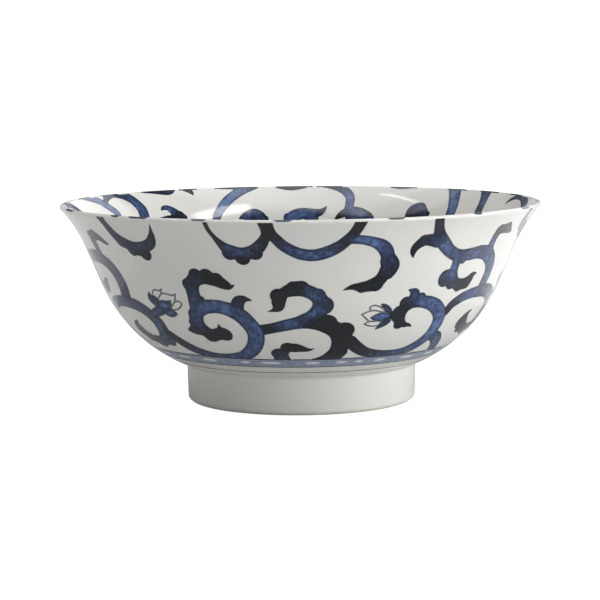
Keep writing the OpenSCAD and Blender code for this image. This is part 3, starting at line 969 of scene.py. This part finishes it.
# Strokes on the back wall. Their first number is in degrees from the back, to the right as seen from
# the front.
BACK_MOTIFS = {
    "arch": [
        [(-72, 143, 2.2, 0.35), (-66, 139.8, 2.3, 0.25), (-63.5, 136.6, 2.3, 0.2), (-61.4, 133.5, 2.2, 0.2),
         (-60.4, 130.4, 2.2, 0.25), (-61, 124, 2.4, 0.3), (-64, 117, 2.6, 0.4)],
        [(-63, 137, 1.2, 0.4), (-61.4, 140, 1.6, 0.5), (-58, 142.2, 2.2, 0.6), (-54.6, 141.3, 2.5, 0.6),
         (-51.8, 138.6, 2.8, 0.5), (-50.2, 135, 3, 0.4), (-49.6, 132, 3.2, 0.4), (-49.9, 128.5, 3, 0.5),
         (-51, 122, 2.6, 0.4), (-52, 112, 2.4, 0.3)],
    ],
    "curled_leaf": [
        [(-42.7, 131.1, 0.2, 0.4), (-41.9, 132.2, 0.9, 0.35), (-40.4, 132.3, 1.3, 0.35), (-39, 130.6, 2, 0.4),
         (-38.2, 128.6, 2.8, 0.7), (-38, 126.2, 3.6, 0.9), (-38, 121, 4.4, 0.7), (-39, 112, 3, 0.4)],
        [(-44, 127.3, 0.2, 0.9), (-41.6, 127, 1.2, 0.9), (-39, 126.2, 2, 0.8)],
        [(-36.6, 128.9, 1.3, 0.6), (-35.6, 126.8, 1.5, 0.8)],
    ],
    "sweep": [
        [(-12, 143.4, 2.4, 0.5), (-16.1, 140, 2.4, 0.3), (-18.9, 137, 2.3, 0.2), (-21.1, 134, 2.3, 0.2),
         (-23, 130.8, 2.1, 0.2), (-24.4, 128, 2, 0.3), (-25.3, 125.5, 2, 0.5), (-26, 119, 2.2, 0.4),
         (-26, 112, 2.2, 0.3)],
        [(-22, 142.6, 1.4, 0.8), (-17, 142.2, 1.4, 0.8), (-12, 142.6, 1.4, 0.8)],
    ],
    "round_leaf": [
        [(-18.2, 125, 0.3, 0.6), (-16.9, 125.8, 1.3, 0.5), (-15.2, 126.9, 2.1, 0.45),
         (-13.3, 127.2, 2.5, 0.5), (-12, 125.4, 3, 0.6), (-12.4, 122.5, 4, 0.7), (-13, 118, 4, 0.6),
         (-13.5, 112, 3, 0.5)],
        (-10.2, 124.6, 1.3, 0.7), (-15.6, 124.6, 2, 0.6),
    ],
    "pointed_leaf": [
        [(7.6, 130.7, 0.1, 0.7), (7, 129, 0.9, 0.7), (5.6, 127.3, 1.8, 0.6), (3, 126.8, 2.6, 0.45),
         (0.5, 126.9, 2.8, 0.35), (-1.8, 125.7, 2.9, 0.3), (-3.2, 123, 3, 0.4), (-4, 117, 3.4, 0.4),
         (-4, 112, 3, 0.4)],
        (-3.7, 125.2, 1.9, 0.35), (3.4, 123.8, 3.2, 0.6),
    ],
    "curl": [
        [(6.4, 142.2, 0.9, 0.8), (9.2, 141.4, 1.5, 0.7), (12, 139.7, 2.1, 0.5), (13.7, 137, 2.2, 0.3),
         (14.3, 134, 2.2, 0.2), (14.2, 130, 2.1, 0.25)],
        [(10.8, 124.4, 0.8, 0.8), (12.4, 126.6, 1.8, 0.85), (14.6, 127.9, 2.4, 0.6), (17, 127.7, 2.5, 0.3),
         (19.4, 126, 2.6, 0.5), (20.8, 123.6, 2.6, 0.6), (21, 117, 2.4, 0.5)],
        (15.6, 124.8, 3.4, 0.5),
    ],
    "lobed_leaf": [
        [(33.8, 124, 2.6, 0.9), (33.9, 128, 3, 0.8), (34.7, 130.2, 2.6, 0.5), (36.3, 131, 2.6, 0.5),
         (37, 129.4, 2.9, 0.6), (37.6, 127, 3.3, 0.9), (37, 120, 3.8, 0.7), (36, 112, 3, 0.5)],
        (39.4, 127.9, 1.3, 0.8),
    ],
    "left_stem": [
        [(44.8, 143.4, 3.4, 0.4), (46, 139.4, 3.2, 0.3), (47.1, 134.8, 3, 0.2), (47.7, 129.6, 2.8, 0.2),
         (46.8, 122, 2.6, 0.3), (43, 116, 2.4, 0.4)],
    ],
    "right_stem": [
        [(57, 143.4, 3.8, 0.6), (57.8, 139.6, 3, 0.5), (58.4, 135.5, 2.5, 0.35), (58.6, 131, 2.5, 0.6),
         (59, 124, 2.4, 0.6), (58, 117, 2.4, 0.5)],
    ],
    "right_arch": [
        [(69.6, 136.4, 0.2, 0.5), (70.8, 138.8, 1, 0.5), (73, 140.6, 1.3, 0.5), (76.5, 140.8, 1.5, 0.5),
         (81, 138.8, 2.2, 0.5), (85, 135, 2.6, 0.4), (87, 128, 2.6, 0.3), (86, 120, 2.4, 0.3)],
    ],
    "left_hook": [
        [(-90, 141.5, 1.4, 0.3), (-85, 139.4, 1.5, 0.3), (-80.5, 136.2, 1.2, 0.4), (-78.5, 133.6, 0.2, 0.4)],
        [(-90, 141.5, 1.6, 0.4), (-91, 134, 2.2, 0.4), (-90, 126, 2.4, 0.3)],
    ],
    "lip_fringe": [
        [(-46, 142.8, 1.4, 0.8), (-42, 142.2, 2, 0.8), (-38, 141.6, 2.4, 0.7), (-36, 142.6, 1.6, 0.7)],
        [(-32.6, 142.6, 1.6, 0.7), (-31, 140.6, 1.4, 0.6), (-30.4, 138.2, 0.15, 0.6)],
        [(-6.4, 142.6, 1.4, 0.8), (-3, 141.6, 2, 0.8), (0.5, 142.2, 1.8, 0.8), (2.4, 142.8, 1, 0.8)],
        [(25.6, 142.8, 1.4, 0.8), (28, 142.4, 1.6, 0.7), (31.6, 142.8, 1.4, 0.8)],
    ],
}
# The scrolls below them, and those of the front half, are the outside's, drawn four times and smaller.
# The back quarters have only the motifs that lie below the strip above, and front_left does without the
# one that would run into it.
LOWER_MOTIFS = {"ring", "right_ring", "hooked_arm", "low_leaf", "left_ring"}
QUARTERS = {
    "right": (135, LOWER_MOTIFS),
    "left": (225, LOWER_MOTIFS),
    "front_right": (45, set(OUTER_MOTIFS)),
    "front_left": (315, set(OUTER_MOTIFS) - {"stem"}),
}
QUARTER_SCALE = {"along": 0.756, "base": 70.5, "rise": 16, "up": 0.78, "thick": 0.8}
INSIDE_LOW = 86         # the lowest s of the inside's scrolls
INSIDE_PAINTED_VEIL = 0.14        # how much lighter the inside's paint is drawn: a painted reflection veil


def paint_inside():
    v = run(INSIDE_LOW, scroll_top, SCROLL_ROW)
    canvas = round_canvas(inner_place, inner_breadth, 0, v, outer=False)
    for motif, strokes in OUTER_MOTIFS.items():
        for quarter_name, (turn, motifs) in QUARTERS.items():
            if motif in motifs:
                canvas.paint(f"inner_{quarter_name}_{motif}", brushed(strokes, turn, **QUARTER_SCALE))
    for motif, strokes in BACK_MOTIFS.items():
        canvas.paint(f"inner_back_{motif}", brushed(strokes, 180, 0, along=-1))
    # Painted reflection veil: the inside's strokes are all drawn lighter
    canvas.tone -= INSIDE_PAINTED_VEIL
    for name in canvas.fields:
        half = "front" if "_front_" in name else "back"
        canvas.film(name, ["inner_scroll_" + half])


# Where strokes run out over the crown of the lip: (middle azimuth, half width in degrees)
LIP_TICKS = [(-45.8, 0.4), (-38.5, 1.8), (-22.6, 0.8), (-3.8, 1), (21.3, 1), (43.4, 0.4), (64, 1.5), (85, 2),
             (108, 2), (121.5, 2.4), (134, 1.8), (151, 2.4), (172, 2), (181.5, 3.4), (197.5, 4.5),
             (211.5, 1.2), (221, 4), (239, 2.2), (252, 2), (270, 1.5), (292, 2)]
TICK_TONE = 0.75
TICK_HALF_W = 2.9
TICK_ROW = 0.12
TICK_CENTRE = s_lip - 0.9
TICK_END = s_lip + 2.4


def paint_lip():
    v = run(scroll_top, TICK_END, TICK_ROW)
    canvas = round_canvas(inner_place, lambda s: inner_breadth(s_lip), 0, v, outer=False)
    for azimuth, half in LIP_TICKS:
        tick = [(azimuth + k * half, TICK_CENTRE, TICK_HALF_W, TICK_TONE) for k in (-1, 0, 1)]
        canvas.paint("lip_ticks", Brush(tick))
    canvas.film("lip_ticks", ["inner_scroll_front", "inner_scroll_back"])


# The well's flower, in rings: (petals, first turn, base radius, tip radius, half width, tone)
FLOWER_RINGS = [
    (8, 22.5, 6.5, 15.6, 3.1, None),
    (8, 0, 4.5, 13.2, 2.9, 0.55),
    (8, 22.5, 2.5, 8.6, 1.9, None),
]
FLOWER_EYE = (0, 0, 2.4, 0.9)


def rosette_petal(turn, base, tip, half):
    """A petal's outline, tip first, turned about the middle of the well."""
    reach = tip - base
    outline = [complex(tip, 0)]
    shoulders = [(0.78, 0.75), (0.45, 1), (0, 0.45)]
    outline += [complex(base + reach * along, half * out) for along, out in shoulders]
    outline += [complex(base + reach * along, -half * out) for along, out in shoulders[::-1]]
    turned_points = np.array(outline) * np.exp(1j * math.radians(turn))
    return np.stack([turned_points.real, turned_points.imag], -1)


def floor_place(u, v, d):
    return np.stack([u, v, np.full(len(u), inside(0, d).imag)], -1)


def paint_well():
    reach, step = 17.5, 0.3
    count = round(2 * reach / step) + 1
    v = np.linspace(-reach, reach, count)
    canvas = Canvas(floor_place, lambda s: np.ones(np.shape(s)), -reach, v[1] - v[0], count, v)
    for petals, first, base, tip, half, tone in FLOWER_RINGS:
        for k in range(petals):
            outline = rosette_petal(first + k * 360 / petals, base, tip, half)
            canvas.paint("flower", Petal(outline, tone))
    canvas.paint("flower", Brush([FLOWER_EYE]))
    canvas.film("flower", ["well_flower"])


well_ring_r, well_ring_gap = 40, 1.6
well_inner_r = well_ring_r - well_ring_gap
paint_inside()
paint_lip()
paint_well()
painted_line("well_outer_ring_line", inside, well_ring_r, well_ring_r + line_w, "well_ring_outer")
painted_line("well_inner_ring_line", inside, well_inner_r - line_w, well_inner_r, "well_ring_inner")

# ---------------------------------------------------------------- the studio


def look(thing, place, target, roll=0.0):
    """Puts a lamp or the camera at a place, facing a target."""
    thing.location = Vector(place)
    facing = (Vector(target) - Vector(place)).to_track_quat("-Z", "Y")
    thing.rotation_mode = "QUATERNION"
    thing.rotation_quaternion = facing @ Quaternion((0, 0, 1), math.radians(roll))
    bpy.context.scene.collection.objects.link(thing)


def lamp(name, place, target, width, height, power, roll=0.0, gloss_only=False):
    light = bpy.data.lights.new(name, "AREA")
    light.shape = "RECTANGLE"
    light.size, light.size_y = width, height
    light.energy = power
    made = bpy.data.objects.new(name, light)
    made.visible_camera = False
    made.visible_diffuse = not gloss_only
    look(made, place, target, roll)


def sun(name, place, target, strength, softness):
    light = bpy.data.lights.new(name, "SUN")
    light.energy = strength
    light.angle = math.radians(softness)
    look(bpy.data.objects.new(name, light), place, target)


def stage(name, unseen, radii, heights, shader, **inputs):
    """A disc, a ring or a wall round the axis, in metres, hidden from the rays that unseen names."""
    spokes = 96
    azimuth = np.arange(spokes) * 360 / spokes
    rings = [around(azimuth, np.full(spokes, complex(r, z))) for r, z in zip(radii, heights)]
    faces = []
    for ring in range(len(radii) - 1):
        low = ring * spokes
        for i in range(spokes):
            j = (i + 1) % spokes
            faces.append((low + i, low + spokes + i, low + spokes + j, low + j))
    finish = Finish(name)
    finish.node("OutputMaterial", {"Surface": finish.node(shader, inputs).outputs[0]})
    made = linked(name, np.vstack(rings), faces, finish.material)
    made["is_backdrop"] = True
    for ray in unseen:
        setattr(made, "visible_" + ray, False)


def sky(strength):
    world = bpy.data.worlds.new("studio")
    world.use_nodes = True
    background = world.node_tree.nodes["Background"].inputs
    background["Color"].default_value = (1, 1, 1, 1)
    background["Strength"].default_value = strength
    bpy.context.scene.world = world


middle = Vector((0, 0, bowl_h * MM / 2))
camera_data = bpy.data.cameras.new("camera")
camera_data.lens = 126.9
camera_data.sensor_width = 36
camera_data.shift_x = -0.0015
camera = bpy.data.objects.new("camera", camera_data)
look(camera, (0, -0.927, 0.1526), (0, 0, 0.0433), roll=-0.473)
bpy.context.scene.camera = camera
bpy.context.scene.view_settings.view_transform = "Standard"

# The white table and backdrop are what shows. The greyer ones light the bowl, and the two rings of
# sheen are only seen in its gloss.
white = (1, 1, 1, 1)
table_radii = (0.001, 0.3, 1, 3, 10, 30)
GREY_DROP = 0.0005
SHEEN_RISE = 0.0002
LIGHT_RAYS = ("diffuse", "glossy", "transmission", "shadow")
ALL_BUT_GLOSS = ("camera", "diffuse", "transmission", "shadow")
glow = {"Emission Color": white, "Emission Strength": 0.92}
matt = {"Base Color": (0.4, 0.4, 0.4, 1), "Roughness": 1}
stage("white_table", LIGHT_RAYS, table_radii, (0,) * 6, "BsdfPrincipled", **matt, **glow)
grey = (0.7, 0.7, 0.7, 1)
stage("grey_table", ["camera"], table_radii, (-GREY_DROP,) * 6, "BsdfDiffuse", Color=grey)
for name, unseen, radii, heights, strength in (
    ("near_sheen", ALL_BUT_GLOSS, (0.135, 0.17), (SHEEN_RISE,) * 2, 0.5),
    ("far_sheen", ALL_BUT_GLOSS, (0.17, 1, 30), (SHEEN_RISE,) * 3, 0.8),
    ("white_backdrop", LIGHT_RAYS, (30, 30), (0, 6), 1),
    ("grey_backdrop", ["camera"], (29, 29), (0, 6), 0.6),
):
    stage(name, unseen, radii, heights, "Emission", Color=white, Strength=strength)
sky(0.24)
sun("overhead", (-0.2, 0, 1), (0, 0, 0), 1.58, 70)
lamp("window", (1.35, -0.45, 0.38), middle, 1.6, 0.7, 18.5)
# These give the glaze its highlights, and light nothing
lamp("softbox", (1.04, -0.56, 1.64), middle, 0.9, 0.3, 7.5, roll=-39, gloss_only=True)
lamp("ceiling", (0, 0, 2.5), middle, 3, 3, 32, gloss_only=True)
lamp("table_glare", (0.33, 0.12, 0.001), (0.33, 0.12, 1), 0.4, 0.4, 0.22, gloss_only=True)
lamp("strip", (-1.02, -0.02, 1.76), middle, 0.5, 0.07, 1, roll=63, gloss_only=True)
lamp("right_panel", (1.02, 1.46, 0.95), middle, 2, 0.8, 9, gloss_only=True)
lamp("left_panel", (-1.24, 1.1, 1.16), middle, 1.2, 0.9, 1.2, gloss_only=True)

low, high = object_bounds()
